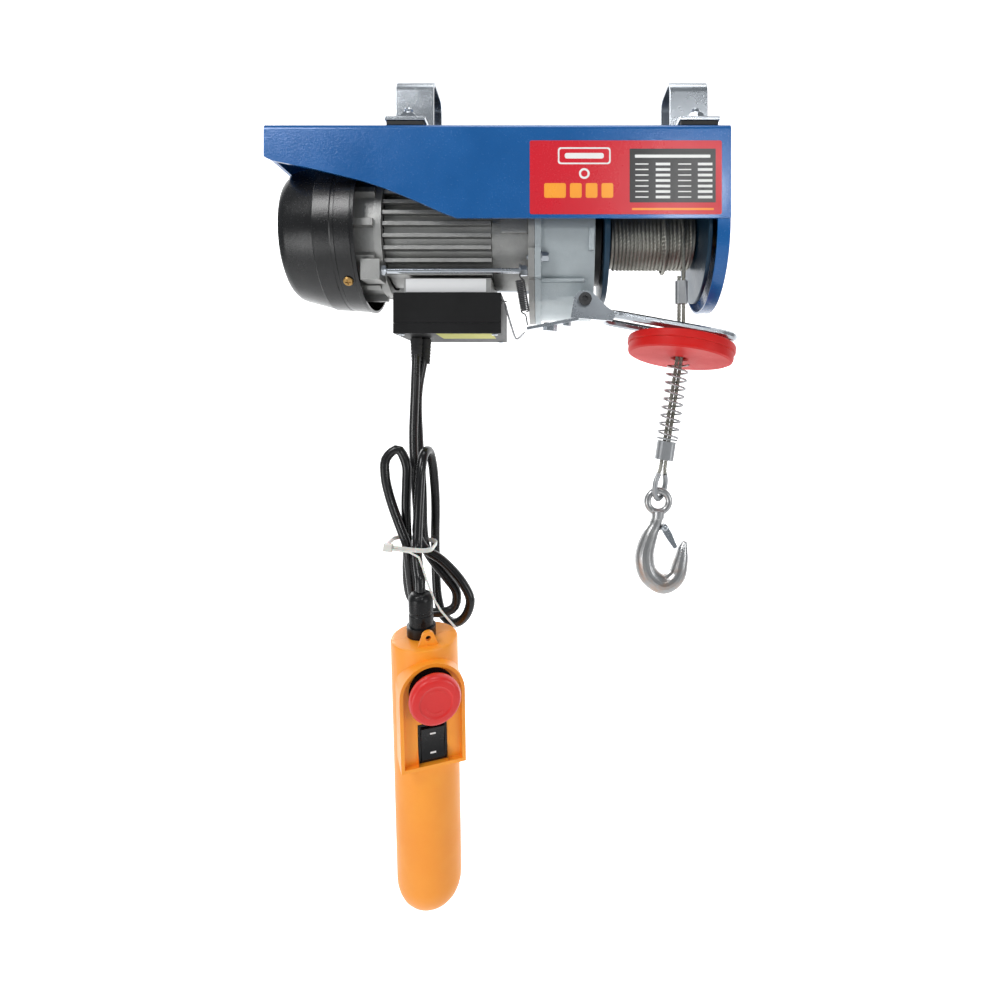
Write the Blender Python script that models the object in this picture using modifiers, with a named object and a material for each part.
"""Electric wire rope hoist: frame, clamps, motor, gearbox, rope drum, hook, limit arm and pendant.

Lengths are in metres and +Z is up. The origin is the middle of the frame's top face, where the
support tube lies along X. The motor and the drum share one axis, parallel to X, under the frame.
The front of the hoist faces -Y.
"""

import math

import bmesh
import bpy
from mathutils import Matrix, Vector

# ---------------------------------------------------------------- driving dimensions
GAP = 0.0003

FRAME_HALF_LENGTH = 0.200
FRAME_HALF_WIDTH = 0.072
FRAME_SHEET = 0.003
FRAME_DEPTH = 0.081
FRAME_BEND = 0.005
# skirt edge at the motor end: distance from the end, depth below the top face
SKIRT_EDGE = [(0.0, 0.026), (0.0074, 0.032), (0.0406, 0.0385), (0.084, 0.049), (0.102, 0.055),
              (0.128, 0.0655), (0.154, 0.077), (0.165, 0.081)]
AXIS_Z = -0.081

CLAMP_X = {"left": -0.080, "right": 0.174}
CLAMP_WIDTH = 0.035
CLAMP_SHEET = 0.0034
CLAMP_INSIDE = 0.022
CLAMP_TOP = 0.0625
CLAMP_CORNER = 0.014
CLAMP_FLANGE = 0.0690
PAD_TOP = 0.0038
BOLT_Y = 0.0520
BOLT_RADIUS = 0.0039
BOLT_HOLE = 0.0045

END_PLATE_X = (0.1887, 0.1997)
END_PLATE_SHEET = 0.003
BUSH_BORE = 0.0093
BUSH_RADIUS = 0.014

COVER_X = (-0.196, -0.124)
ROD_Y = 0.050
ROD_Z = -0.122
ROD_RADIUS = 0.0025
SCREW_X = -0.134

GEAR_MODULE = 0.00144
PINION_TEETH = 10
WHEEL_TEETH = 40
GEAR_CENTRES = GEAR_MODULE * (PINION_TEETH + WHEEL_TEETH) / 2
LAYSHAFT_Z = AXIS_Z - GEAR_CENTRES
GEARBOX_X = (0.026, 0.085)
GEARBOX_SEAM = 0.0315
COVER_SCREW_Y = 0.0555
COVER_SCREW_Z = -0.111

DRUM_X = (0.093, 0.187)
DRUM_FLANGE = 0.0625
DRUM_CORE = 0.022
WINDING_RADIUS = 0.0312
SHAFT_RADIUS = 0.009

ROPE_RADIUS = 0.00175
ROPE_Y = -0.0334
ROPE_X = 0.1674
TAIL_X = 0.1632
FERRULE_TOP = -0.128
FERRULE_BOTTOM = -0.149

HOOK_LEAN = math.radians(8.6)
WEIGHT_CENTRE = Vector((0.1645, ROPE_Y, -0.1915))
WEIGHT_RADIUS = 0.04875
WEIGHT_HALF = 0.0078
WEIGHT_TIP = math.radians(8.0)
SPRING_TOP = -0.012
SPRING_BOTTOM = -0.080
LOWER_FERRULE = (-0.084, -0.101)
EYE_BOTTOM = -0.1372
EYE_TURN = math.radians(48.0)

HOOK_EYE = Vector((0.1441, ROPE_Y, -0.3292))
HOOK_EYE_RADIUS = 0.00975
HOOK_EYE_WIRE = 0.00325
# middle of the rope eye's lowest point, about which the hook swings
HANG_POINT = Vector((0.1441, ROPE_Y, -0.3272))
# hook centreline from the eye to the tip: X, Z, radius of the section
HOOK_LINE = [(0.1440, -0.3425, 0.0050), (0.1411, -0.3510, 0.0052), (0.1360, -0.3618, 0.0070),
             (0.1316, -0.3790, 0.0083), (0.1350, -0.3955, 0.0086), (0.1480, -0.4050, 0.0085),
             (0.1600, -0.3985, 0.0078), (0.1645, -0.3850, 0.0066), (0.1665, -0.3735, 0.0045),
             (0.1683, -0.3657, 0.0022)]
LATCH_PIVOT = Vector((0.1498, ROPE_Y, -0.3534))
LATCH_TIP = Vector((0.1600, ROPE_Y, -0.3722))

ARM_PIVOT = Vector((0.0756, -0.060, -0.149))
ARM_DROOP = math.radians(10.3)
ARM_ROD_RADIUS = 0.00375
ARM_NEAR_Y = -0.060
ARM_FAR_Y = 0.0
LINK_Y = -0.0485

BOX_X = (-0.0932, 0.002)
BOX_Y = (-0.055, 0.035)
BOX_Z = (-0.178, -0.142)
BOX_SEAM = -0.169
BOX_WALL = 0.0025

CORD_RADIUS = 0.0041
CORD_GAP = 0.0005
CONTROL_EXIT = Vector((-0.0796, -0.019, -0.1815))
MAINS_EXIT = Vector((-0.0728, -0.011, -0.1815))
CORD_POINT_SPACING = 0.0155

PENDANT_TOP = Vector((-0.058, -0.096, -0.429))
PENDANT_LEAN = math.radians(6.7)
PENDANT_YAW = math.radians(20.0)
PENDANT_RADIUS = 0.027
PENDANT_WALL = 0.0024
PENDANT_LENGTH = 0.237
HOOD_HALF_WIDTH = 0.0255
HOOD_TOP = -0.0077
HOOD_BOTTOM = -0.094
HOOD_FRONT = -0.034
HOOD_FLOOR = -0.029
HOOD_RIM = 0.0028
STOP_Z = -0.031
STOP_RADIUS = 0.020
STOP_SEAT = 0.0175
ROCKER_Z = -0.075
GLAND_FOOT = Vector((-0.002, 0.002, GAP))
GLAND_HEIGHT = 0.036

PLUG_TOP = Vector((-0.0694, -0.0385, -0.484))

# colour, roughness, metallic
FINISHES = {
    "blue_paint": ((0.012, 0.090, 0.300), 0.35, 0.2),
    "zinc": ((0.62, 0.65, 0.68), 0.30, 1.0),
    "steel": ((0.50, 0.50, 0.50), 0.35, 1.0),
    "rubber": ((0.02, 0.02, 0.02), 0.80, 0.0),
    "black_plastic": ((0.015, 0.015, 0.017), 0.40, 0.0),
    "cast_aluminium": ((0.42, 0.41, 0.38), 0.50, 0.9),
    "silver_paint": ((0.62, 0.66, 0.67), 0.38, 0.6),
    "drum_blue": ((0.010, 0.045, 0.085), 0.40, 0.3),
    "bronze": ((0.45, 0.28, 0.10), 0.40, 1.0),
    "rope": ((0.30, 0.29, 0.26), 0.50, 0.9),
    "red_paint": ((0.60, 0.012, 0.010), 0.30, 0.0),
    "yellow_plastic": ((0.97, 0.36, 0.04), 0.42, 0.0),
    "red_plastic": ((0.72, 0.025, 0.020), 0.40, 0.0),
    "cord": ((0.008, 0.008, 0.008), 0.45, 0.0),
    "white_plastic": ((0.80, 0.80, 0.76), 0.40, 0.0),
    "copper": ((0.60, 0.22, 0.08), 0.40, 0.9),
}

# local X, Y and Z of a flat outline: facing along X (outline in YZ) or along -Y (outline in XZ)
ACROSS_X = Matrix(((0, 0, 1, 0), (1, 0, 0, 0), (0, 1, 0, 0), (0, 0, 0, 1)))
ACROSS_Y = Matrix(((1, 0, 0, 0), (0, 0, -1, 0), (0, 1, 0, 0), (0, 0, 0, 1)))
TURN_TO_X = Matrix.Rotation(math.radians(90), 4, "Y")
TURN_TO_FRONT = Matrix.Rotation(math.radians(90), 4, "X")


# ---------------------------------------------------------------- scene and helpers
def clear_scene():
    for obj in list(bpy.data.objects):
        bpy.data.objects.remove(obj, do_unlink=True)


def collection(name):
    found = bpy.data.collections.get(name)
    if found is None:
        found = bpy.data.collections.new(name)
        bpy.context.scene.collection.children.link(found)
    return found


def place(name, data, finish, matrix=None, parent=None):
    """Add an object; finish None makes it a cutter or a helper that is joined into a piece."""
    obj = bpy.data.objects.new(name, data)
    if parent is not None:
        obj.parent = parent
    if matrix is not None:
        obj.matrix_local = matrix
    if finish is None:
        collection("hoist_cutters").objects.link(obj)
        obj.hide_render = True
        obj.display_type = "WIRE"
        return obj
    collection("wire_rope_hoist").objects.link(obj)
    colour, roughness, metallic = FINISHES[finish]
    material = bpy.data.materials.new(name)
    material.use_nodes = True
    shader = material.node_tree.nodes["Principled BSDF"]
    shader.inputs["Base Color"].default_value = (*colour, 1.0)
    shader.inputs["Roughness"].default_value = roughness
    shader.inputs["Metallic"].default_value = metallic
    obj.data.materials.clear()
    obj.data.materials.append(material)
    return obj


def empty(name, matrix):
    obj = bpy.data.objects.new(name, None)
    collection("wire_rope_hoist").objects.link(obj)
    obj.matrix_world = matrix
    return obj


def finished_mesh(obj, name):
    """The object's mesh with its modifiers applied."""
    bpy.context.view_layer.update()
    evaluated = obj.evaluated_get(bpy.context.evaluated_depsgraph_get())
    mesh = bpy.data.meshes.new_from_object(evaluated)
    mesh.name = name
    return mesh


def curve_to_mesh(curve, name):
    """A curve's mesh with its caps welded and its faces pointing out."""
    holder = bpy.data.objects.new(name, curve)
    bpy.context.scene.collection.objects.link(holder)
    mesh = finished_mesh(holder, name)
    bpy.data.objects.remove(holder, do_unlink=True)
    shape = bmesh.new()
    shape.from_mesh(mesh)
    bmesh.ops.remove_doubles(shape, verts=shape.verts, dist=0.000005)
    bmesh.ops.recalc_face_normals(shape, faces=shape.faces)
    shape.to_mesh(mesh)
    shape.free()
    return mesh


def smooth(obj, angle=35):
    obj.data.shade_smooth()
    obj.data.set_sharp_from_angle(angle=math.radians(angle))


def box(name, finish, low, high, parent=None):
    size = Vector(high) - Vector(low)
    centre = (Vector(high) + Vector(low)) / 2
    shape = bmesh.new()
    scale = Matrix.Diagonal((*size, 1.0))
    bmesh.ops.create_cube(shape, size=1.0, matrix=Matrix.Translation(centre) @ scale)
    mesh = bpy.data.meshes.new(name)
    shape.to_mesh(mesh)
    shape.free()
    return place(name, mesh, finish, parent=parent)


def cylinder(name, finish, start, end, radius, segments=24, parent=None, end_radius=None):
    """A straight bar from start to end, or a cone if end_radius differs; 6 segments make a hexagon."""
    start = Vector(start)
    end = Vector(end)
    turn = (end - start).to_track_quat("Z", "Y").to_matrix().to_4x4()
    shape = bmesh.new()
    bmesh.ops.create_cone(shape, cap_ends=True, segments=segments, radius1=radius,
                          radius2=radius if end_radius is None else end_radius,
                          depth=(end - start).length,
                          matrix=Matrix.Translation((start + end) / 2) @ turn)
    mesh = bpy.data.meshes.new(name)
    shape.to_mesh(mesh)
    shape.free()
    return place(name, mesh, finish, parent=parent)


def turned(name, finish, profile, matrix, segments=32, closed=False, parent=None):
    """Turn a profile of (radius, height) about local Z; it runs down the outer side."""
    shape = bmesh.new()
    points = [shape.verts.new((radius, 0.0, height)) for radius, height in profile]
    for first, second in zip(points, points[1:]):
        shape.edges.new((first, second))
    if closed:
        shape.edges.new((points[-1], points[0]))
    mesh = bpy.data.meshes.new(name)
    shape.to_mesh(mesh)
    shape.free()
    obj = place(name, mesh, finish, matrix, parent)
    screw = obj.modifiers.new("Screw", "SCREW")
    screw.axis = "Z"
    screw.angle = math.tau
    screw.steps = segments
    screw.render_steps = segments
    screw.use_merge_vertices = True
    screw.merge_threshold = 0.000005
    screw.use_smooth_shade = True
    return obj


def prism(name, finish, outline, thickness, matrix, holes=(), parent=None, bevel=0.0):
    """A flat outline, with holes, given a thickness about its own plane."""
    curve = bpy.data.curves.new(name, "CURVE")
    curve.dimensions = "2D"
    curve.fill_mode = "BOTH"
    curve.extrude = thickness / 2
    for loop in (outline, *holes):
        spline = curve.splines.new("POLY")
        spline.points.add(len(loop) - 1)
        for point, (x, y) in zip(spline.points, loop):
            point.co = (x, y, 0.0, 1.0)
        spline.use_cyclic_u = True
    obj = place(name, curve_to_mesh(curve, name), finish, matrix, parent)
    if bevel:
        edge = obj.modifiers.new("Bevel", "BEVEL")
        edge.width = bevel
        edge.segments = 2
        edge.limit_method = "ANGLE"
        edge.angle_limit = math.radians(50)
    return obj


def tube_curve(name, points, radius, cyclic=False, resolution=2, radii=None):
    curve = bpy.data.curves.new(name, "CURVE")
    curve.dimensions = "3D"
    curve.bevel_depth = radius
    curve.bevel_resolution = resolution
    curve.use_fill_caps = True
    spline = curve.splines.new("POLY")
    spline.points.add(len(points) - 1)
    for index, (point, place_at) in enumerate(zip(spline.points, points)):
        point.co = (*place_at, 1.0)
        if radii:
            point.radius = radii[index] / radius
    spline.use_cyclic_u = cyclic
    return curve


def tube(name, finish, points, radius, cyclic=False, resolution=2, radii=None, parent=None):
    """A round bar along points; a cutter or a joined bar is made a mesh."""
    curve = tube_curve(name, points, radius, cyclic, resolution, radii)
    if finish is None:
        return place(name, curve_to_mesh(curve, name), None, parent=parent)
    return place(name, curve, finish, parent=parent)


def mesh_tube(name, finish, points, radius, cyclic=False, resolution=2, radii=None, parent=None):
    """A round bar that other solids are joined to."""
    curve = tube_curve(name, points, radius, cyclic, resolution, radii)
    return place(name, curve_to_mesh(curve, name), finish, parent=parent)


def combine(obj, others, operation):
    for other in others:
        modifier = obj.modifiers.new(other.name, "BOOLEAN")
        modifier.operation = operation
        modifier.solver = "EXACT"
        modifier.object = other


def cut(obj, *others):
    combine(obj, others, "DIFFERENCE")


def join(obj, *others):
    combine(obj, others, "UNION")


def move_origin(obj, point):
    """Put an unturned object's origin on its joint's axis."""
    obj.data.transform(Matrix.Translation(-Vector(point)))
    obj.location = Vector(point)


def arc(centre, radius, start, end, steps):
    """Points on an arc in the outline's plane; angles in degrees."""
    points = []
    for step in range(steps + 1):
        angle = math.radians(start + (end - start) * step / steps)
        points.append((centre[0] + radius * math.cos(angle), centre[1] + radius * math.sin(angle)))
    return points


def circle(centre, radius, steps=32):
    return arc(centre, radius, 0, 360, steps)[:-1]


def smooth_route(points, spacing):
    """Evenly spaced points on a smooth curve that passes through the given points."""
    points = [Vector(point) for point in points]
    ends = [2 * points[0] - points[1]] + points + [2 * points[-1] - points[-2]]
    fine = []
    for before, first, second, after in zip(ends, ends[1:], ends[2:], ends[3:]):
        for step in range(16):
            t = step / 16
            fine.append(0.5 * (2 * first + (second - before) * t
                               + (2 * before - 5 * first + 4 * second - after) * t ** 2
                               + (3 * first - before - 3 * second + after) * t ** 3))
    fine.append(points[-1])
    total = sum((b - a).length for a, b in zip(fine, fine[1:]))
    count = max(2, round(total / spacing))
    even = [fine[0]]
    walked = 0.0
    for first, second in zip(fine, fine[1:]):
        stretch = (second - first).length
        while len(even) < count and walked + stretch >= total * len(even) / count:
            even.append(first.lerp(second, (total * len(even) / count - walked) / stretch))
        walked += stretch
    even.append(fine[-1])
    return even


def gear_outline(teeth, turn):
    """Spur gear outline with straight-sided teeth and free play between them."""
    pitch = GEAR_MODULE * teeth / 2
    root = pitch - 1.15 * GEAR_MODULE
    tip = pitch + 0.85 * GEAR_MODULE
    step = math.tau / teeth
    points = []
    for tooth in range(teeth):
        middle = turn + tooth * step
        for radius, share in ((root, -0.30), (tip, -0.13), (tip, 0.13), (root, 0.30)):
            angle = middle + share * step
            points.append((radius * math.cos(angle), radius * math.sin(angle)))
    return points


def coil(start, end, radius, turns, per_turn, start_turn=0.0):
    """Points of a straight coil spring between two ends."""
    start = Vector(start)
    end = Vector(end)
    turn = (end - start).to_track_quat("Z", "Y")
    count = int(turns * per_turn)
    points = []
    for index in range(count + 1):
        angle = start_turn + math.tau * turns * index / count
        offset = turn @ Vector((radius * math.cos(angle), radius * math.sin(angle), 0.0))
        points.append(start.lerp(end, index / count) + offset)
    return points


# ---------------------------------------------------------------- frame
def make_frame():
    half, sheet, bend = FRAME_HALF_WIDTH, FRAME_SHEET, FRAME_BEND
    inner = half - sheet
    outline = [(-half, -FRAME_DEPTH), (-inner, -FRAME_DEPTH)]
    outline += arc((-inner + bend - sheet, -bend), bend - sheet, 180, 90, 4)
    outline += arc((inner - bend + sheet, -bend), bend - sheet, 90, 0, 4)
    outline += [(inner, -FRAME_DEPTH), (half, -FRAME_DEPTH)]
    outline += arc((half - bend, -bend), bend, 0, 90, 4)
    outline += arc((bend - half, -bend), bend, 90, 180, 4)
    frame = prism("frame_channel", "blue_paint", outline, 2 * FRAME_HALF_LENGTH, ACROSS_X)

    below = FRAME_DEPTH + 0.005
    waste = [(-FRAME_HALF_LENGTH - 0.005, -SKIRT_EDGE[0][1])]
    waste += [(along - FRAME_HALF_LENGTH, -depth) for along, depth in SKIRT_EDGE[1:]]
    waste += [(SKIRT_EDGE[-1][0] - FRAME_HALF_LENGTH, -below), (-FRAME_HALF_LENGTH - 0.005, -below)]
    cut(frame, prism("skirt_waste", None, waste, 0.2, ACROSS_Y))
    end_wall = box("frame_end_wall", None, (-FRAME_HALF_LENGTH, -inner - 0.001, -SKIRT_EDGE[0][1]),
                   (-FRAME_HALF_LENGTH + sheet, inner + 0.001, -0.001))
    join(frame, end_wall)
    for side, clamp_x in CLAMP_X.items():
        for row, y in (("front", -BOLT_Y), ("rear", BOLT_Y)):
            cut(frame, cylinder(f"frame_hole_{side}_{row}", None, (clamp_x, y, -0.02),
                                (clamp_x, y, 0.02), BOLT_HOLE, 10))
    smooth(frame)


def end_plate_outline(inset):
    """Straight inside the skirts above the axis, a half circle below it."""
    above = FRAME_HALF_WIDTH - FRAME_SHEET - GAP - inset
    below = FRAME_HALF_WIDTH - inset
    step = -FRAME_DEPTH - GAP - inset * 0.2
    top = -FRAME_SHEET - GAP - inset
    corner = FRAME_BEND - inset
    outline = [(above, step)]
    outline += arc((above - corner, top - corner), corner, 0, 90, 3)
    outline += arc((corner - above, top - corner), corner, 90, 180, 3)
    outline += [(-above, step)]
    outline += arc((0, step), below, 180, 360, 28)
    return outline


def make_end_plate():
    low, high = END_PLATE_X
    plate = prism("end_plate", "blue_paint", end_plate_outline(0.0), high - low,
                  Matrix.Translation(((low + high) / 2, 0, 0)) @ ACROSS_X)
    depth = high - low - END_PLATE_SHEET
    dish = prism("end_plate_dish", None, end_plate_outline(0.0025), depth + 0.002,
                 Matrix.Translation((low + depth / 2 - 0.001, 0, 0)) @ ACROSS_X)
    seat = cylinder("bush_seat", None, (low - 0.01, 0, AXIS_Z), (high + 0.01, 0, AXIS_Z),
                    BUSH_RADIUS + GAP, 24)
    cut(plate, dish, seat)
    smooth(plate)
    face = high - END_PLATE_SHEET - GAP
    profile = [(BUSH_RADIUS, high), (BUSH_RADIUS, face), (0.018, face), (0.018, face - 0.0025),
               (BUSH_RADIUS, face - 0.0025), (BUSH_RADIUS, DRUM_X[1] + 0.0012),
               (BUSH_BORE, DRUM_X[1] + 0.0012), (BUSH_BORE, high)]
    turned("drum_bush", "bronze", profile, on_axis(), 16, closed=True)


def make_clamps():
    """Two straps that hold the support tube down on the frame, on rubber pads."""
    inside, sheet = CLAMP_INSIDE, CLAMP_SHEET
    outside = inside + sheet
    foot = PAD_TOP + GAP
    corner = CLAMP_CORNER
    top = CLAMP_TOP
    outline = [(CLAMP_FLANGE, foot), (CLAMP_FLANGE, foot + sheet), (outside, foot + sheet)]
    outline += arc((outside - corner, top - corner), corner, 0, 90, 5)
    outline += arc((corner - outside, top - corner), corner, 90, 180, 5)
    outline += [(-outside, foot + sheet), (-CLAMP_FLANGE, foot + sheet), (-CLAMP_FLANGE, foot)]
    outline += [(-inside, foot)]
    outline += arc((corner - outside, top - corner), corner - sheet, 180, 90, 5)
    outline += arc((outside - corner, top - corner), corner - sheet, 90, 0, 5)
    outline += [(inside, foot)]
    for side, clamp_x in CLAMP_X.items():
        at = Matrix.Translation((clamp_x, 0, 0)) @ ACROSS_X
        strap = prism(f"clamp_{side}", "zinc", outline, CLAMP_WIDTH, at)
        half = CLAMP_WIDTH / 2 - 0.0015
        pad = box(f"clamp_pad_{side}", "rubber", (clamp_x - half, -0.0680, GAP),
                  (clamp_x + half, 0.0680, PAD_TOP))
        for row, y in (("front", -BOLT_Y), ("rear", BOLT_Y)):
            hole = cylinder(f"strap_hole_{side}_{row}", None, (clamp_x, y, -0.01),
                            (clamp_x, y, 0.02), BOLT_HOLE, 10)
            cut(strap, hole)
            cut(pad, hole)
        smooth(strap)
    make_clamp_bolts(foot + sheet + GAP)


def make_clamp_bolts(seat):
    """One bolt mesh, its head under the frame, its washer, nut and thread end on top, shared by four objects."""
    washer_top = seat + 0.0015
    shank = cylinder("bolt_pattern", None, (0, 0, -0.0095), (0, 0, washer_top + 0.0115), BOLT_RADIUS, 8)
    washer = cylinder("bolt_washer", None, (0, 0, seat), (0, 0, washer_top), 0.0085, 12)
    head = cylinder("bolt_head", None, (0, 0, washer_top - 0.0001), (0, 0, washer_top + 0.0065),
                    0.0075, 6)
    nut = cylinder("bolt_nut", None, (0, 0, -0.0101), (0, 0, -FRAME_SHEET - GAP), 0.0075, 6)
    join(shank, washer, head, nut)
    mesh = finished_mesh(shank, "clamp_bolt")
    for side, clamp_x in CLAMP_X.items():
        for row, y in (("front", -BOLT_Y), ("rear", BOLT_Y)):
            place(f"clamp_bolt_{side}_{row}", mesh.copy(), "zinc",
                  Matrix.Translation((clamp_x, y, 0)))


# ---------------------------------------------------------------- motor
def on_axis():
    return Matrix.Translation((0, 0, AXIS_Z)) @ TURN_TO_X


def make_fan_cover():
    left, right = COVER_X
    profile = [(0.0715, right), (0.0700, -0.142), (0.0690, -0.160), (0.0610, -0.188),
               (0.0580, -0.1935), (0.0530, left), (0.0, left), (0.0, left + 0.002),
               (0.0520, left + 0.002), (0.0562, -0.1925), (0.0590, -0.187), (0.0670, -0.159),
               (0.0680, -0.141), (0.0693, right)]
    cover = turned("fan_cover", "black_plastic", profile, on_axis(), 28, closed=True)
    slots = 8
    for index in range(slots):
        slot = box(f"air_slot_{index}", None, (left - 0.005, -0.0022, 0.016), (left + 0.004, 0.0022, 0.046))
        slot.matrix_world = (Matrix.Translation((0, 0, AXIS_Z))
                             @ Matrix.Rotation(math.tau * index / slots, 4, "X"))
        cut(cover, slot)
    direction = Vector((0, -1, -1)).normalized()
    centre = Vector((SCREW_X, 0, AXIS_Z))
    cut(cover, cylinder("cover_screw_hole", None, centre + direction * 0.060,
                        centre + direction * 0.080, 0.0023, 12))
    seat = 0.0711
    screw = cylinder("fan_cover_screw", "zinc", centre + direction * 0.0625,
                     centre + direction * (seat + 0.001), 0.0018, 12)
    join(screw, cylinder("cover_screw_head", None, centre + direction * seat,
                         centre + direction * (seat + 0.0022), 0.0045, 16, end_radius=0.0030))


def make_rear_bell():
    profile = [(0.058, -0.1036), (0.058, -0.110), (0.0555, -0.110), (0.0555, -0.139), (0.050, -0.139),
               (0.050, -0.130), (0.010, -0.130), (0.010, -0.124), (0.0173, -0.124), (0.0173, -0.112),
               (0.023, -0.112), (0.023, -0.1235), (0.050, -0.1235), (0.050, -0.1036)]
    bell = turned("rear_bell", "cast_aluminium", profile, on_axis(), 20, closed=True)
    ribs = []
    count = 12
    for index in range(count):
        middle = 360 * index / count
        for radius, share in ((0.0550, -4.2), (0.0610, -2.8), (0.0610, 2.8), (0.0550, 4.2)):
            angle = math.radians(middle + share)
            ribs.append((radius * math.cos(angle), radius * math.sin(angle)))
    fins = prism("bell_fins", None, ribs, 0.027, Matrix.Translation((-0.1235, 0, AXIS_Z)) @ ACROSS_X,
                 holes=[circle((0, 0), 0.0530, 20)])
    join(bell, fins)
    direction = Vector((0, -1, -1)).normalized()
    centre = Vector((SCREW_X, 0, AXIS_Z))
    post = cylinder("cover_post", None, centre + direction * 0.052, centre + direction * 0.0672,
                    0.0048, 12)
    join(bell, post)
    for row, side in (("front", -1), ("rear", 1)):
        lug = box(f"bell_lug_{row}", None, (-0.121, min(side * 0.034, side * 0.058), -0.131),
                  (-0.1045, max(side * 0.034, side * 0.058), -0.113))
        rod_hole = cylinder(f"bell_rod_hole_{row}", None, (-0.117, side * ROD_Y, ROD_Z),
                            (-0.10, side * ROD_Y, ROD_Z), ROD_RADIUS + GAP, 12)
        join(bell, lug)
        cut(bell, rod_hole)
    cut(bell, cylinder("cover_screw_thread", None, centre + direction * 0.061,
                       centre + direction * 0.07, 0.0021, 12))


def make_motor_housing():
    """Ribbed body with level fins on both sides and a pad for the switch box."""
    low, high = -0.1031, -0.0071
    housing = cylinder("motor_housing", "cast_aluminium", (low, 0, AXIS_Z), (high, 0, AXIS_Z), 0.0475, 28)
    for index in range(-4, 5):
        rise = index * 0.0102
        reach = math.sqrt(0.0555 ** 2 - rise ** 2)
        fin = box(f"housing_fin_{index + 4}", None, (low, -reach, AXIS_Z + rise - 0.0016),
                  (high, reach, AXIS_Z + rise + 0.0016))
        join(housing, fin)
    pad = box("box_pad", None, (-0.086, -0.045, BOX_Z[1] + GAP), (-0.0075, 0.030, -0.1275))
    neck = box("box_pad_neck", None, (-0.080, -0.030, -0.135), (-0.012, 0.022, -0.1262))
    join(housing, pad, neck)
    cut(housing, cylinder("stator_bore", None, (-0.110, 0, AXIS_Z), (0.0, 0, AXIS_Z), 0.044, 24))


def make_front_bell():
    profile = [(0.050, 0.0257), (0.050, -0.0067), (0.044, -0.0067), (0.044, 0.020), (0.023, 0.020),
               (0.023, 0.008), (0.0173, 0.008), (0.0173, 0.0185), (0.010, 0.0185), (0.010, 0.0257)]
    bell = turned("front_bell", "cast_aluminium", profile, on_axis(), 24, closed=True)
    rib = box("bell_rib", None, (0.002, -0.0535, AXIS_Z - 0.008), (0.0255, -0.046, AXIS_Z + 0.026))
    join(bell, rib)


def make_motor_inside():
    stator = [(0.0432, -0.020), (0.0432, -0.085), (0.041, -0.0855), (0.040, -0.095), (0.034, -0.095),
              (0.0325, -0.0855), (0.0308, -0.085), (0.0308, -0.020), (0.0325, -0.0195),
              (0.034, -0.010), (0.040, -0.010), (0.041, -0.0195)]
    turned("stator", "copper", stator, on_axis(), 16, closed=True)
    shaft = [(0.0, 0.0600), (0.0050, 0.0600), (0.0050, 0.0300), (0.0075, 0.0300), (0.0075, 0.0050),
             (0.0110, 0.0050), (0.0110, -0.0200), (0.0300, -0.0210), (0.0300, -0.0840),
             (0.0110, -0.0850), (0.0110, -0.1100), (0.0075, -0.1100), (0.0075, -0.1700), (0.0, -0.1700)]
    rotor = turned("motor_shaft", "steel", shaft, on_axis(), 16)
    pinion = prism("motor_pinion", None, gear_outline(PINION_TEETH, math.tau / 4 + math.pi / PINION_TEETH),
                   0.011, Matrix.Translation((0.0465, 0, AXIS_Z)) @ ACROSS_X)
    join(rotor, pinion)
    for name, low in (("rear_bearing", -0.1237), ("front_bearing", 0.0082)):
        ring = [(0.017, low + 0.010), (0.017, low), (0.0078, low), (0.0078, low + 0.010)]
        turned(name, "steel", ring, on_axis(), 16, closed=True)


def make_fan():
    blades = 7
    outline = []
    for index in range(blades):
        middle = 360 * index / blades
        for radius, share in ((0.0130, -8), (0.0500, -2.2), (0.0500, 2.2), (0.0130, 8)):
            angle = math.radians(middle + share)
            outline.append((radius * math.cos(angle), radius * math.sin(angle)))
    fan = prism("cooling_fan", "black_plastic", outline, 0.018,
                Matrix.Translation((-0.156, 0, AXIS_Z)) @ ACROSS_X,
                holes=[circle((0, 0), 0.0080, 14)])
    back = turned("fan_disc", None, [(0.046, -0.1475), (0.046, -0.1495), (0.010, -0.1495), (0.010, -0.1475)],
                  on_axis(), 16, closed=True)
    join(fan, back)


def make_tie_rods():
    """Long studs that pull the two end bells together, on the lower corners."""
    for row, side in (("front", -1), ("rear", 1)):
        y = side * ROD_Y
        rod = cylinder(f"tie_rod_{row}", "zinc", (-0.1165, y, ROD_Z), (0.0290, y, ROD_Z), ROD_RADIUS, 12)
        nut = cylinder(f"tie_rod_nut_{row}", None, (0.0175, y, ROD_Z), (0.0257, y, ROD_Z), 0.0050, 6)
        join(rod, nut)


# ---------------------------------------------------------------- gearbox and drum
def egg(upper, lower):
    """Outline around the main axis and the layshaft below it."""
    spread = math.degrees(math.acos((upper - lower) / GEAR_CENTRES))
    outline = arc((0, AXIS_Z), upper, -90 + spread, 270 - spread, 18)
    outline += arc((0, LAYSHAFT_Z), lower, -90 - spread, -90 + spread, 10)[1:-1]
    return outline


def gearbox_slice(name, finish, outline, low, high):
    return prism(name, finish, outline, high - low, Matrix.Translation(((low + high) / 2, 0, 0)) @ ACROSS_X)


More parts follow.
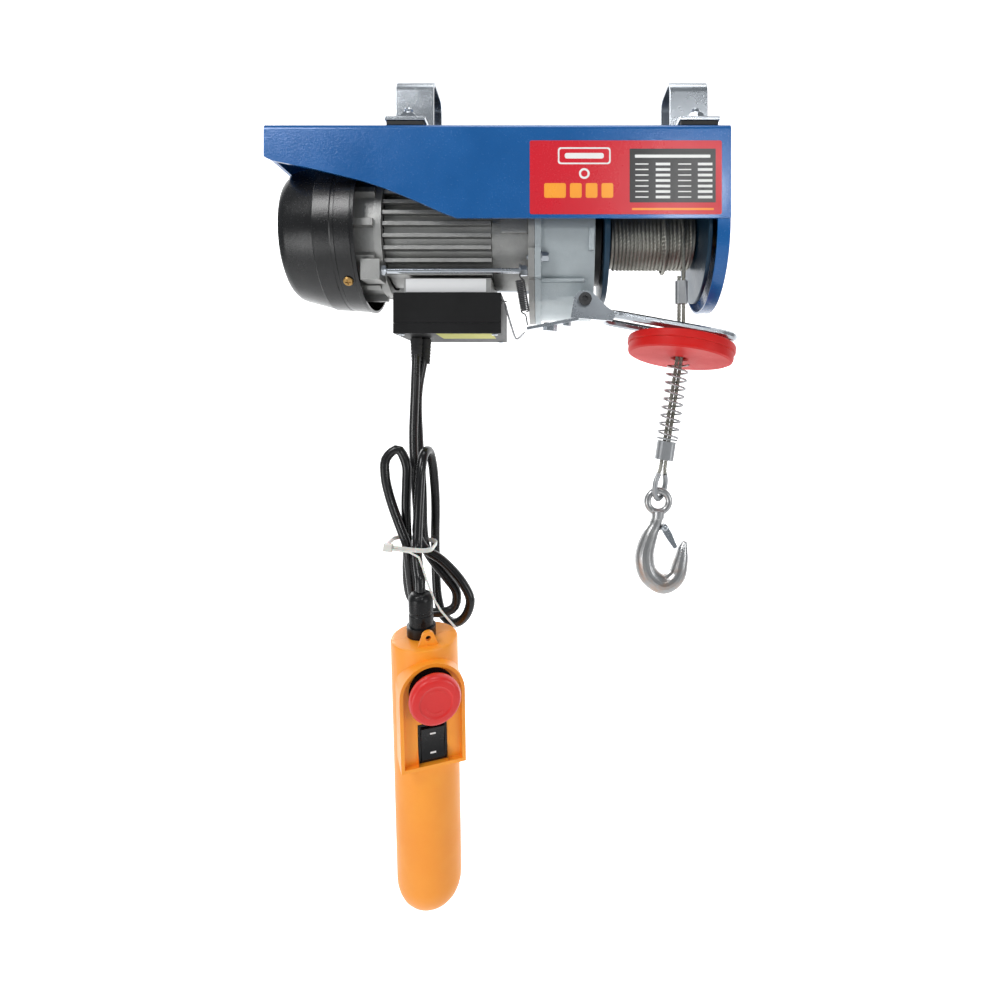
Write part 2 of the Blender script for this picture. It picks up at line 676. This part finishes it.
def add_gearbox_ears(piece, low, high, screw_hole):
    """Lugs at the lower corners, bored for the tie rods and the two cover screws."""
    for row, side in (("front", -1), ("rear", 1)):
        name = f"{piece.name}_{row}"
        join(piece, box(f"{name}_ear", None, (low, min(side * 0.036, side * 0.0615), -0.129),
                        (high, max(side * 0.036, side * 0.0615), -0.104)))
        cut(piece, cylinder(f"{name}_rod_hole", None, (low - 0.01, side * ROD_Y, ROD_Z),
                            (high + 0.001, side * ROD_Y, ROD_Z), ROD_RADIUS + GAP, 12))
        cut(piece, cylinder(f"{name}_screw_hole", None, (low - 0.01, side * COVER_SCREW_Y, COVER_SCREW_Z),
                            (high + 0.001, side * COVER_SCREW_Y, COVER_SCREW_Z), screw_hole, 12))


def make_gearbox():
    left, right = GEARBOX_X
    seam = GEARBOX_SEAM
    cover = gearbox_slice("gearbox_cover", "cast_aluminium", egg(0.061, 0.047), left, seam - 0.00015)
    join(cover, box("gearbox_hanger", None, (left, -0.030, -0.030), (seam - 0.00015, 0.030, -0.0034)))
    add_gearbox_ears(cover, left, seam - 0.00015, 0.0024)
    cut(cover, cylinder("motor_shaft_hole", None, (left - 0.01, 0, AXIS_Z), (seam + 0.01, 0, AXIS_Z),
                        0.0080, 20))
    cut(cover, cylinder("layshaft_seat_left", None, (seam - 0.0035, 0, LAYSHAFT_Z),
                        (seam + 0.01, 0, LAYSHAFT_Z), 0.0050 + GAP, 16))

    housing = gearbox_slice("gearbox_housing", "silver_paint", egg(0.057, 0.0435), seam + 0.003, right)
    flange = gearbox_slice("gearbox_flange", None, egg(0.061, 0.047), seam + 0.00015, 0.037)
    join(housing, flange)
    add_gearbox_ears(housing, seam + 0.00015, 0.037, 0.0024)
    cavity = gearbox_slice("gearbox_cavity", None, egg(0.052, 0.0385), left, right - 0.006)
    cut(housing, cavity)
    join(housing, cylinder("arm_boss", None, (ARM_PIVOT.x, -0.025, ARM_PIVOT.z),
                           (ARM_PIVOT.x, ARM_PIVOT.y + 0.0032, ARM_PIVOT.z), 0.0080, 20))
    cut(housing, cylinder("drum_shaft_hole", None, (right - 0.01, 0, AXIS_Z), (right + 0.01, 0, AXIS_Z),
                          SHAFT_RADIUS + GAP, 24))
    cut(housing, cylinder("layshaft_seat_right", None, (right - 0.01, 0, LAYSHAFT_Z),
                          (right - 0.002, 0, LAYSHAFT_Z), 0.0050 + GAP, 16))
    cut(housing, cylinder("arm_bolt_thread", None, (ARM_PIVOT.x, -0.0650, ARM_PIVOT.z),
                          (ARM_PIVOT.x, -0.0400, ARM_PIVOT.z), 0.0030 + GAP, 16))
    for row, side in (("front", -1), ("rear", 1)):
        y, z = side * COVER_SCREW_Y, COVER_SCREW_Z
        bolt = cylinder(f"gearbox_bolt_{row}", "zinc", (0.0245, y, z), (0.0380, y, z), 0.0020, 12)
        join(bolt, cylinder(f"gearbox_bolt_head_{row}", None, (0.0373, y, z), (0.0450, y, z), 0.0042, 16))


def make_gears():
    """Motor pinion drives the layshaft wheel; its pinion drives the wheel on the drum shaft."""
    layshaft = cylinder("intermediate_gear", "steel", (0.0290, 0, LAYSHAFT_Z), (0.0820, 0, LAYSHAFT_Z),
                        0.0050, 16)
    move_origin(layshaft, (0.0, 0.0, LAYSHAFT_Z))
    wheel_turn = -math.tau / 4
    wheel = prism("layshaft_wheel", None, gear_outline(WHEEL_TEETH, wheel_turn), 0.0080,
                  Matrix.Translation((0.0465, 0, LAYSHAFT_Z)) @ ACROSS_X)
    pinion = prism("layshaft_pinion", None, gear_outline(PINION_TEETH, math.tau / 4), 0.0120,
                   Matrix.Translation((0.0675, 0, LAYSHAFT_Z)) @ ACROSS_X)
    join(layshaft, wheel, pinion)

    profile = [(0.0, 0.1990), (SHAFT_RADIUS, 0.1990), (SHAFT_RADIUS, 0.0625), (0.0, 0.0625)]
    shaft = turned("drum_shaft", "steel", profile, on_axis(), 16)
    output = prism("output_wheel", None, gear_outline(WHEEL_TEETH, -math.tau / 4 + math.pi / WHEEL_TEETH),
                   0.0090, Matrix.Translation((0.0680, 0, AXIS_Z)) @ ACROSS_X)
    join(shaft, output)


def make_drum():
    left, right = DRUM_X
    rim, core, bore = DRUM_FLANGE, DRUM_CORE, SHAFT_RADIUS + GAP
    profile = [(rim, right), (rim, right - 0.0035), (core, right - 0.0065), (core, left + 0.0080),
               (rim, left + 0.0048), (rim, left), (bore, left), (bore, right)]
    turned("rope_drum", "drum_blue", profile, on_axis(), 32, closed=True)
    winding = [(WINDING_RADIUS, right - 0.0075), (WINDING_RADIUS, left + 0.0092),
               (core + GAP, left + 0.0092), (core + GAP, right - 0.0075)]
    turned("rope_winding", "rope", winding, on_axis(), 24, closed=True)
    tube("rope_fall", "rope", [(ROPE_X, ROPE_Y, AXIS_Z + step * (FERRULE_TOP - AXIS_Z) / 3)
                               for step in range(4)], ROPE_RADIUS)


# ---------------------------------------------------------------- hook and stop weight
def make_hook_block():
    seat = empty("hook_line", Matrix.Translation(WEIGHT_CENTRE) @ Matrix.Rotation(HOOK_LEAN, 4, "Y"))
    to_world = Matrix.Translation(WEIGHT_CENTRE) @ Matrix.Rotation(HOOK_LEAN, 4, "Y")

    middle_x = (ROPE_X + TAIL_X) / 2
    lobe = 0.0036
    ferrule = prism("upper_ferrule", "zinc",
                    arc((ROPE_X, 0), lobe, -90, 90, 8) + arc((TAIL_X, 0), lobe, 90, 270, 8),
                    FERRULE_TOP - FERRULE_BOTTOM,
                    Matrix.Translation((0, ROPE_Y, (FERRULE_TOP + FERRULE_BOTTOM) / 2)))
    bore = ROPE_RADIUS + GAP
    cut(ferrule, prism("upper_ferrule_bore", None,
                       arc((ROPE_X, 0), bore, -90, 90, 6) + arc((TAIL_X, 0), bore, 90, 270, 6), 0.05,
                       Matrix.Translation((0, ROPE_Y, FERRULE_TOP))))

    half = ROPE_RADIUS + GAP / 2
    tail = [Vector((TAIL_X, ROPE_Y, FERRULE_TOP + 0.0045)), Vector((TAIL_X, ROPE_Y, FERRULE_TOP - 0.006)),
            Vector((TAIL_X, ROPE_Y, FERRULE_BOTTOM - 0.001)),
            Vector((middle_x - half - 0.0003, ROPE_Y, -0.163))]
    fall = [Vector((ROPE_X, ROPE_Y, FERRULE_TOP - 2 * GAP)), Vector((ROPE_X, ROPE_Y, FERRULE_TOP - 0.008)),
            Vector((ROPE_X, ROPE_Y, FERRULE_BOTTOM - 0.001)),
            Vector((middle_x + half + 0.0001, ROPE_Y, -0.163))]
    out = Vector((math.cos(EYE_TURN), math.sin(EYE_TURN), 0.0))
    straight = [0.004, -0.020, -0.045, -0.070, LOWER_FERRULE[0] - 0.004, LOWER_FERRULE[1] - 0.001]
    down = [to_world @ Vector((-half, 0, z)) for z in straight]
    up = [to_world @ Vector((half, 0, z)) for z in straight]
    eye = []
    for along, rise in ((-0.0040, 0.0270), (-0.0084, 0.0150), (-0.0068, 0.0050), (0.0, 0.0),
                        (0.0068, 0.0050), (0.0084, 0.0150), (0.0040, 0.0270)):
        eye.append(to_world @ (out * along + Vector((0, 0, EYE_BOTTOM + rise))))
    loop = smooth_route(down[-1:] + eye + up[-1:], 0.0045)
    tube("hook_rope", "rope", tail + down + loop[1:-1] + up[::-1] + fall[::-1], ROPE_RADIUS)

    tip = Matrix.Rotation(-WEIGHT_TIP, 4, "X")
    body = WEIGHT_HALF
    profile = [(WEIGHT_RADIUS - 0.002, body), (WEIGHT_RADIUS, body - 0.002), (WEIGHT_RADIUS, 0.0008),
               (WEIGHT_RADIUS - 0.0012, 0.0), (WEIGHT_RADIUS - 0.0012, -body + 0.0025),
               (WEIGHT_RADIUS - 0.0037, -body), (0.0085, -body), (0.0068, -body + 0.0015),
               (0.0068, body - 0.0015), (0.0085, body)]
    turned("stop_weight", "red_paint", profile, tip, 28, closed=True, parent=seat)
    tube("stop_spring", "zinc", coil((0, 0, SPRING_TOP), (0, 0, SPRING_BOTTOM), 0.0092, 9, 6), 0.0009,
         parent=seat)
    top = SPRING_BOTTOM - 0.0009 - GAP
    washer = [(0.0095, top), (0.0095, top - 0.0013), (0.0048, top - 0.0013), (0.0048, top)]
    turned("spring_washer", "zinc", washer, Matrix.Identity(4), 16, closed=True, parent=seat)

    lower = prism("lower_ferrule", "zinc",
                  arc((half, 0), 0.0066, -75, 75, 8) + arc((-half, 0), 0.0066, 105, 255, 8),
                  LOWER_FERRULE[0] - LOWER_FERRULE[1],
                  Matrix.Translation((0, 0, sum(LOWER_FERRULE) / 2)), parent=seat)
    slot = prism("lower_ferrule_bore", None,
                 arc((half, 0), bore, -90, 90, 6) + arc((-half, 0), bore, 90, 270, 6), 0.04,
                 Matrix.Translation((0, 0, sum(LOWER_FERRULE) / 2)), parent=seat)
    cut(lower, slot)


def make_hook():
    line = [Vector((x, ROPE_Y, z)) for x, z, radius in HOOK_LINE]
    widths = [radius for x, z, radius in HOOK_LINE]
    guide = smooth_route([(point.x, width, point.z) for point, width in zip(line, widths)], 0.0068)
    hook = mesh_tube("hook", "zinc", [(p.x, ROPE_Y, p.z) for p in guide], 0.008,
                     radii=[p.y for p in guide])
    ring = tube("hook_eye", None, [HOOK_EYE + Vector((x, 0, z)) for x, z in
                                   circle((0, 0), HOOK_EYE_RADIUS, 18)], HOOK_EYE_WIRE, cyclic=True)
    along = (LATCH_TIP - LATCH_PIVOT).normalized()
    inward = LATCH_PIVOT + Vector((-0.0085, 0, 0.0040))
    lug = cylinder("latch_lug", None, LATCH_PIVOT - Vector((0, 0.0016, 0)),
                   LATCH_PIVOT + Vector((0, 0.0016, 0)), 0.0030, 16)
    web_low = Vector((inward.x, ROPE_Y - 0.0016, LATCH_PIVOT.z - 0.0020))
    web_high = Vector((LATCH_PIVOT.x, ROPE_Y + 0.0016, LATCH_PIVOT.z + 0.0028))
    web = box("latch_web", None, web_low, web_high)
    rivet = cylinder("latch_rivet", None, LATCH_PIVOT - Vector((0, 0.0046, 0)),
                     LATCH_PIVOT + Vector((0, 0.0046, 0)), 0.0013, 12)
    join(hook, ring, web, lug, rivet)
    for side in (-1, 1):
        head = cylinder(f"rivet_head_{'front' if side < 0 else 'rear'}", None,
                        LATCH_PIVOT + Vector((0, side * 0.0040, 0)),
                        LATCH_PIVOT + Vector((0, side * 0.0049, 0)), 0.0024, 12)
        join(hook, head)
    move_origin(hook, HANG_POINT)
    make_latch(along)


def make_latch(along):
    """Sprung tongue that closes the mouth; two cheeks straddle the lug."""
    across = Vector((along.z, 0, -along.x))
    length = (LATCH_TIP - LATCH_PIVOT).length - 0.0008
    frame = Matrix((
        (along.x, across.x, 0, LATCH_PIVOT.x),
        (0, 0, 1, LATCH_PIVOT.y),
        (along.z, across.z, 0, LATCH_PIVOT.z),
        (0, 0, 0, 1)))
    outline = arc((0, 0), 0.0029, 120, 240, 6)
    outline += [(length, -0.0015), (length, 0.0015)]
    latch = prism("hook_latch", "zinc", outline, 0.0072, frame)
    slot = prism("latch_slot", None, [(-0.006, -0.006), (0.0062, -0.006), (0.0062, 0.006), (-0.006, 0.006)],
                 0.0041, frame)
    bore = cylinder("latch_bore", None, LATCH_PIVOT - Vector((0, 0.01, 0)),
                    LATCH_PIVOT + Vector((0, 0.01, 0)), 0.0013 + GAP, 12)
    cut(latch, slot, bore)


# ---------------------------------------------------------------- limit arm
def arm_point(along, y, lift):
    """A point on the drooping arm: distance along it from the pivot, Y, height above its line."""
    droop = Matrix.Rotation(ARM_DROOP, 4, "Y")
    point = droop @ Vector((along, 0, lift))
    return Vector((ARM_PIVOT.x + point.x, y, ARM_PIVOT.z + point.z))


def make_limit_arm():
    start, end, corner, level = 0.0215, 0.1365, 0.014, -0.0079
    path = []
    for centre, first in (((start + corner, ARM_NEAR_Y + corner), 180), ((end - corner, ARM_NEAR_Y + corner), 270),
                          ((end - corner, ARM_FAR_Y - corner), 0), ((start + corner, ARM_FAR_Y - corner), 90)):
        path += [arm_point(along, y, level) for along, y in arc(centre, corner, first, first + 90, 5)]
    arm = mesh_tube("limit_arm", "zinc", path, ARM_ROD_RADIUS, cyclic=True, resolution=2)
    plate_outline = [(-0.0065, 0.0060), (0.0, 0.0078), (0.0065, 0.0065), (0.0200, -0.0030),
                     (0.0290, -0.0070), (0.0270, -0.0140), (0.0050, -0.0165), (-0.0095, -0.0178),
                     (-0.0095, 0.0010)]
    outline = [(p.x, p.z) for p in (arm_point(a, 0, h) for a, h in plate_outline)]
    hole = circle((ARM_PIVOT.x, ARM_PIVOT.z), 0.0033, 16)
    plate = prism("arm_plate", None, outline, 0.0032, Matrix.Translation((0, -0.0600, 0)) @ ACROSS_Y,
                  holes=[hole])
    lever_side = [(0.0700, -0.1672), (0.0250, -0.1756), (0.0246, -0.1730), (0.0700, -0.1645)]
    lever = prism("arm_lever", None, lever_side, 0.0125, Matrix.Translation((0, -0.0556, 0)) @ ACROSS_Y)
    nut = cylinder("lever_nut", None, (0.0600, -0.0540, -0.1715), (0.0607, -0.0540, -0.1660), 0.0035, 6)
    clip = cylinder("lever_clip", None, (0.0450, -0.0540, -0.1760), (0.0457, -0.0540, -0.1690), 0.0062, 6)
    join(arm, plate, lever, nut, clip)
    move_origin(arm, ARM_PIVOT)

    bolt = cylinder("arm_pivot_bolt", "zinc", (ARM_PIVOT.x, -0.0622, ARM_PIVOT.z),
                    (ARM_PIVOT.x, -0.0410, ARM_PIVOT.z), 0.0030, 16)
    head = cylinder("arm_bolt_head", None, (ARM_PIVOT.x, -0.0665, ARM_PIVOT.z),
                    (ARM_PIVOT.x, -0.0619, ARM_PIVOT.z), 0.0056, 20)
    socket = cylinder("arm_bolt_socket", None, (ARM_PIVOT.x, -0.0700, ARM_PIVOT.z),
                      (ARM_PIVOT.x, -0.0640, ARM_PIVOT.z), 0.0028, 6)
    join(bolt, head)
    cut(bolt, socket)

    spring = coil((0.0190, -0.0640, -0.1330), (0.0236, -0.0650, -0.1600), 0.0038, 6, 6)
    upper_hook = [Vector((0.0190, -0.0640, -0.1270)), Vector((0.0190, -0.0640, -0.1310))]
    lower_hook = [Vector((0.0240, -0.0650, -0.1625)), Vector((0.0256, -0.0650, -0.1722))]
    tube("return_spring", "steel", upper_hook + spring + lower_hook, 0.0006)
    link = [(0.0052, LINK_Y, -0.1508), (0.0075, LINK_Y, -0.1600), (0.0118, LINK_Y, -0.1745),
            (0.0148, LINK_Y, -0.1822), (0.0185, LINK_Y, -0.1806), (0.0226, LINK_Y, -0.1760)]
    tube("limit_link", "steel", smooth_route(link, 0.004), 0.0009)


# ---------------------------------------------------------------- switch box
def make_switch_box():
    (x0, x1), (y0, y1), (z0, z1) = BOX_X, BOX_Y, BOX_Z
    wall = BOX_WALL
    body = box("box_body", "black_plastic", (x0, y0, BOX_SEAM + GAP), (x1, y1, z1))
    cut(body, box("box_inside", None, (x0 + wall, y0 + wall, z0 - 0.01), (x1 - wall, y1 - wall, z1 - wall)))
    cut(body, box("lever_slot", None, (x1 - 0.004, LINK_Y - 0.0038, -0.1512),
                  (x1 + 0.004, LINK_Y + 0.0038, -0.1462)))
    lid = box("box_lid", "black_plastic", (x0, y0, z0), (x1, y1, BOX_SEAM))
    cut(lid, box("lid_inside", None, (x0 + wall, y0 + wall, z0 + wall), (x1 - wall, y1 - wall, BOX_SEAM + 0.01)))
    for name, exit_at in (("control", CONTROL_EXIT), ("mains", MAINS_EXIT)):
        collar_end = Vector((exit_at.x, exit_at.y, exit_at.z + CORD_GAP))
        join(lid, cylinder(f"{name}_collar", None, (exit_at.x, exit_at.y, z0 + 0.001), collar_end,
                           0.0049, 20))
    cylinder("capacitor", "white_plastic", (-0.070, 0.014, -0.1575), (-0.016, 0.014, -0.1575), 0.0110, 24)
    switch = box("limit_switch", "black_plastic", (-0.0240, -0.0515, -0.1640), (-0.0040, -0.0430, -0.1500))
    lever = box("switch_lever", None, (-0.0230, LINK_Y - 0.0010, -0.1505), (-0.0030, LINK_Y + 0.0035, -0.1485))
    reach = box("switch_reach", None, (-0.0040, LINK_Y - 0.0020, -0.1492), (0.0068, LINK_Y + 0.0030, -0.1485))
    join(switch, lever, reach)


# ---------------------------------------------------------------- pendant
def pendant_matrix():
    return (Matrix.Translation(PENDANT_TOP) @ Matrix.Rotation(PENDANT_LEAN, 4, "X")
            @ Matrix.Rotation(PENDANT_YAW, 4, "Z"))


def pendant_profile(inset):
    """Outer or inner side of the grip, from the top of its axis down to the bottom."""
    radius = PENDANT_RADIUS - inset
    end = -PENDANT_LENGTH + inset
    corner = 0.0025 if inset == 0.0 else 0.001
    profile = [(0.0, -inset), (radius - corner, -inset), (radius, -inset - corner), (radius, end + 0.026),
               (radius * 0.94, end + 0.0155), (radius * 0.76, end + 0.0070), (radius * 0.45, end + 0.0015)]
    if inset:
        return profile + [(0.0, end)]
    return profile + [(0.0045, end), (0.0038, end - 0.0060), (0.0, end - 0.0066)]


def hood_outline(inset):
    half = HOOD_HALF_WIDTH - inset
    centre = (0.0, HOOD_TOP - HOOD_HALF_WIDTH)
    outline = arc(centre, half, 0, 180, 16)
    return outline + [(-half, HOOD_BOTTOM + inset), (half, HOOD_BOTTOM + inset)]


def make_pendant_shells(seat):
    flat = Matrix.Identity(4)
    inner = turned("grip_inside", None, pendant_profile(PENDANT_WALL), flat, 24, parent=seat)
    shells = {}
    for name in ("pendant_front", "pendant_rear"):
        shells[name] = turned(name, "yellow_plastic", pendant_profile(0.0), flat, 24, parent=seat)
    front = shells["pendant_front"]
    hood_depth = -0.010 - HOOD_FRONT
    hood = prism("hood", None, hood_outline(0.0), hood_depth,
                 Matrix.Translation((0, HOOD_FRONT + hood_depth / 2, 0)) @ ACROSS_Y, parent=seat)
    lug = prism("hanging_lug", None,
                arc((0, 0.0065), 0.0052, 0, 180, 8) + [(-0.0085, -0.0012), (0.0085, -0.0012)], 0.0034,
                Matrix.Translation((0.0, -0.0175, 0)) @ ACROSS_Y, holes=[circle((0, 0.0060), 0.0022, 12)],
                parent=seat)
    join(front, hood, lug)
    cut(front, inner)
    recess_depth = 0.004 - HOOD_FRONT + HOOD_FLOOR
    recess = prism("hood_recess", None, hood_outline(HOOD_RIM), recess_depth,
                   Matrix.Translation((0, HOOD_FLOOR - recess_depth / 2, 0)) @ ACROSS_Y, parent=seat)
    round_hole = cylinder("stop_hole", None, (0, -0.040, STOP_Z), (0, -0.010, STOP_Z), STOP_SEAT + GAP, 24,
                          parent=seat)
    rocker_hole = box("rocker_hole", None, (-0.0115, -0.040, ROCKER_Z - 0.0162),
                      (0.0115, -0.010, ROCKER_Z + 0.0162), parent=seat)
    rear_half = box("rear_half", None, (-0.05, -GAP / 2, -0.30), (0.05, 0.05, 0.05), parent=seat)
    cut(front, recess, round_hole, rocker_hole, rear_half)
    rear = shells["pendant_rear"]
    front_half = box("front_half", None, (-0.05, -0.05, -0.30), (0.05, GAP / 2, 0.05), parent=seat)
    cut(rear, inner, front_half)


def make_pendant_switches(seat):
    block = box("switch_block", "black_plastic", (-0.0150, -0.0185, -0.0930), (0.0150, -0.0040, -0.0110),
                parent=seat)
    bezel = cylinder("stop_bezel", None, (0, -0.0180, STOP_Z), (0, -0.0295, STOP_Z), STOP_SEAT, 24, parent=seat)
    collar = box("rocker_collar", None, (-0.0112, -0.0295, ROCKER_Z - 0.0159),
                 (0.0112, -0.0180, ROCKER_Z + 0.0159), parent=seat)
    stem_hole = cylinder("stem_hole", None, (0, -0.040, STOP_Z), (0, -0.0080, STOP_Z), 0.0085, 24, parent=seat)
    pocket = box("rocker_pocket", None, (-0.0095, -0.040, ROCKER_Z - 0.0142), (0.0095, -0.0200, ROCKER_Z + 0.0142),
                 parent=seat)
    join(block, bezel, collar)
    cut(block, stem_hole, pocket)

    face_front = Matrix.Translation((0, 0, STOP_Z)) @ TURN_TO_FRONT
    stem = [(0.0, 0.0382), (0.0075, 0.0382), (0.0075, 0.0140), (0.0, 0.0140)]
    turned("estop_stem", "black_plastic", stem, face_front, 16, parent=seat)
    cap = [(0.0, 0.0488), (0.0120, 0.0490), (0.0130, 0.0496), (0.0165, 0.0494), (0.0190, 0.0475),
           (STOP_RADIUS, 0.0440), (STOP_RADIUS - 0.0006, 0.0405), (0.0170, 0.0385), (0.0, 0.0385)]
    turned("estop_cap", "red_plastic", cap, face_front, 24, parent=seat)

    profile = [(-0.0132, -0.0012), (0.0132, -0.0012), (0.0130, 0.0042), (0.0, 0.0018), (-0.0130, 0.0042)]
    side = [(-height, along) for along, height in profile]
    rocker = prism("rocker_switch", "black_plastic", side, 0.0184,
                   Matrix.Translation((0, -0.0272, ROCKER_Z)) @ ACROSS_X, parent=seat)
    smooth(rocker, 20)

    foot = GLAND_FOOT
    profile = [(0.0, GLAND_HEIGHT), (0.0052, GLAND_HEIGHT), (0.0082, 0.0345), (0.0100, 0.0300),
               (0.0100, 0.0085), (0.0118, 0.0082), (0.0118, 0.0), (0.0, 0.0)]
    turned("cord_gland", "black_plastic", profile, Matrix.Translation(foot), 16, parent=seat)


# ---------------------------------------------------------------- cords
def control_route(gland_top):
    """Box to gland: down, round the lower right loop, up, over and down through the tie."""
    above = gland_top + Vector((0.0, -0.0009, 0.0095))
    return [
        CONTROL_EXIT, CONTROL_EXIT - Vector((0, 0, 0.0100)), (-0.0793, -0.0280, -0.2313), (-0.0778, -0.0420, -0.2728),
        (-0.0736, -0.0540, -0.3074), (-0.0696, -0.0640, -0.3400), (-0.0680, -0.0675, -0.3600),
        (-0.0538, -0.0650, -0.3712), (-0.0393, -0.0620, -0.3856), (-0.0264, -0.0610, -0.4042),
        (-0.0250, -0.0600, -0.4175), (-0.0322, -0.0570, -0.4296), (-0.0434, -0.0490, -0.4345),
        (-0.0530, -0.0430, -0.4260), (-0.0572, -0.0405, -0.4034), (-0.0584, -0.0405, -0.3634),
        (-0.0580, -0.0415, -0.3295), (-0.0592, -0.0455, -0.3000), (-0.0608, -0.0530, -0.2840),
        (-0.0625, -0.0645, -0.2802), (-0.0642, -0.0745, -0.2920), (-0.0655, -0.0795, -0.3217),
        (-0.0664, -0.0835, -0.3592),
        (-0.0642, -0.0915, -0.3715), above, gland_top]


def mains_route():
    """Box to plug: down, inner lower right loop, behind the gland, up over the left loop and down."""
    return [
        MAINS_EXIT, MAINS_EXIT - Vector((0, 0, 0.0100)), (-0.0785, -0.0165, -0.2313), (-0.0749, -0.0310, -0.2735),
        (-0.0700, -0.0430, -0.3086), (-0.0655, -0.0560, -0.3600), (-0.0569, -0.0555, -0.3790),
        (-0.0445, -0.0550, -0.3950), (-0.0378, -0.0540, -0.4055), (-0.0368, -0.0530, -0.4145),
        (-0.0415, -0.0525, -0.4220), (-0.0500, -0.0545, -0.4245), (-0.0590, -0.0545, -0.4235),
        (-0.0690, -0.0500, -0.4220), (-0.0780, -0.0480, -0.4140),
        (-0.0805, -0.0550, -0.3950), (-0.0785, -0.0650, -0.3625), (-0.0788, -0.0690, -0.3300),
        (-0.0782, -0.0690, -0.3040), (-0.0792, -0.0685, -0.2890), (-0.0840, -0.0680, -0.2805),
        (-0.0897, -0.0680, -0.2788), (-0.0947, -0.0680, -0.2830), (-0.0970, -0.0685, -0.2930),
        (-0.0960, -0.0695, -0.3060), (-0.0915, -0.0715, -0.3220), (-0.0840, -0.0755, -0.3405),
        (-0.0760, -0.0790, -0.3592), (-0.0738, -0.0775, -0.3811),
        (-0.0718, -0.0720, -0.4060), (-0.0702, -0.0605, -0.4320), (-0.0696, -0.0450, -0.4580),
        PLUG_TOP + Vector((0, -0.0003, 0.0100)), PLUG_TOP]


def cord_points(route):
    """A cord's path; its first and last stretches stay straight, square to what they meet."""
    return [Vector(route[0])] + smooth_route(route[1:-1], CORD_POINT_SPACING) + [Vector(route[-1])]


def make_cords(to_world):
    gland_top = to_world @ (GLAND_FOOT + Vector((0, 0, GLAND_HEIGHT + CORD_GAP)))
    tube("control_cord", "cord", cord_points(control_route(gland_top)), CORD_RADIUS)
    tube("mains_cord", "cord", cord_points(mains_route()), CORD_RADIUS)

    top = PLUG_TOP - Vector((0, 0, CORD_GAP))
    plug = [(0.0, 0.0), (0.0058, 0.0), (0.0085, -0.016), (0.0150, -0.022), (0.0180, -0.030),
            (0.0180, -0.052), (0.0, -0.052)]
    plug = turned("mains_plug", "rubber", plug, Matrix.Translation(top), 24)
    for side, x in (("left", -0.0095), ("right", 0.0095)):
        join(plug, cylinder(f"plug_pin_{side}", None, top + Vector((x, 0, -0.050)),
                            top + Vector((x, 0, -0.071)), 0.0024, 12))


def make_cable_tie():
    """Loose band round the bundle of cords, with its head at the left and a thin tail."""
    centre = Vector((-0.0730, -0.0700, -0.3600))
    half_length, half_width, sheet, height = 0.0195, 0.0225, 0.0012, 0.0036
    corner = 0.0120
    rings = []
    for inset in (0.0, sheet):
        ring = []
        for sx, sy, first in ((1, 1, 0), (-1, 1, 90), (-1, -1, 180), (1, -1, 270)):
            corner_at = (sx * (half_length - corner), sy * (half_width - corner))
            ring += arc(corner_at, corner - inset, first, first + 90, 4)
        rings.append(ring)
    tilt = Matrix.Rotation(math.radians(6), 4, "Y")
    tie = prism("cable_tie", "white_plastic", rings[0], height, Matrix.Translation(centre) @ tilt,
                holes=[rings[1]])
    head = box("tie_head", None, (-0.0035, -0.0030, -0.0030), (0.0035, 0.0030, 0.0030))
    head.matrix_world = Matrix.Translation(centre + Vector((-0.0160, -0.0205, 0.0012))) @ tilt
    tail = [(-0.0880, -0.0915, -0.3600), (-0.0740, -0.0960, -0.3610), (-0.0627, -0.0985, -0.3640),
            (-0.0545, -0.1000, -0.3858), (-0.0460, -0.1000, -0.4048), (-0.0320, -0.0980, -0.4225)]
    join(tie, head, tube("tie_tail", None, smooth_route(tail, 0.009), 0.0009))


def main():
    clear_scene()
    make_frame()
    make_end_plate()
    make_clamps()
    make_fan_cover()
    make_rear_bell()
    make_motor_housing()
    make_front_bell()
    make_motor_inside()
    make_fan()
    make_tie_rods()
    make_gearbox()
    make_gears()
    make_drum()
    make_hook_block()
    make_hook()
    make_limit_arm()
    make_switch_box()
    to_world = pendant_matrix()
    seat = empty("pendant_seat", to_world)
    make_pendant_shells(seat)
    make_pendant_switches(seat)
    make_cords(to_world)
    make_cable_tie()


main()
